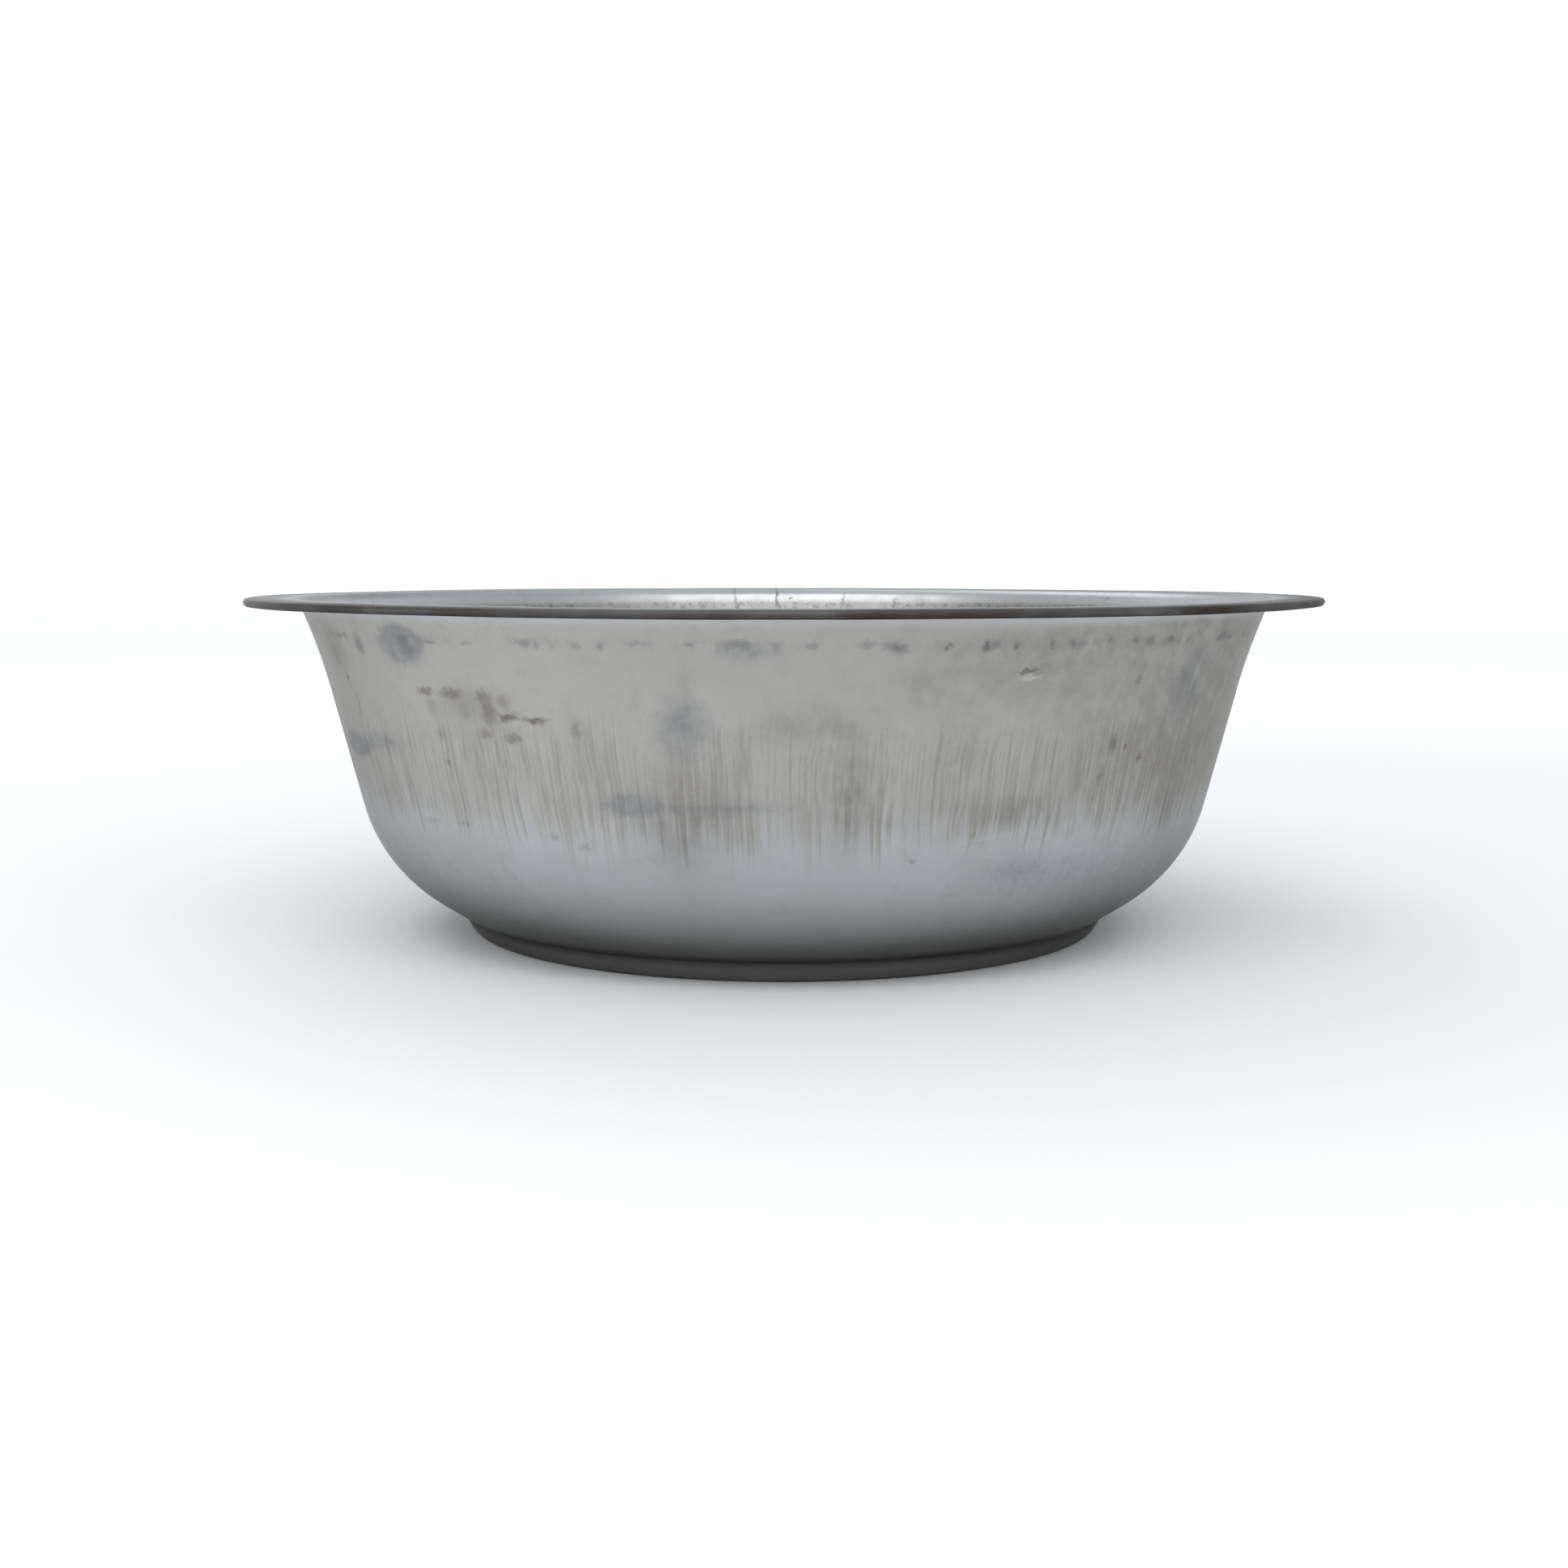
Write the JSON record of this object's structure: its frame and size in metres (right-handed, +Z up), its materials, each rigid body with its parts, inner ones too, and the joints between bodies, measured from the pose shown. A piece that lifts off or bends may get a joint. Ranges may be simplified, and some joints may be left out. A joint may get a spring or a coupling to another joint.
{
  "type": "mud pan",
  "caption": "Round pressed steel mud pan with leaning walls, a flat lip with a curled edge and a shallow stepped foot, for mixing and carrying mortar or plaster.",
  "frame": {"origin": "centre of the flat underside, on the surface that the pan stands on", "axes": "+Z up along the pan's axis; +X to the right and +Y to the back as seen from the front, where the wire's cut ends meet at the back"},
  "size_m": [0.406, 0.406, 0.127],
  "materials": {
    "sheet_steel": "bare mild steel with drawing marks and handling stains",
    "wire_steel": "plain drawn wire, dull"
  },
  "bodies": {
    "root": {"pan_pressing": "sheet_steel", "rim_wire": "wire_steel"}
  },
  "joints": []
}
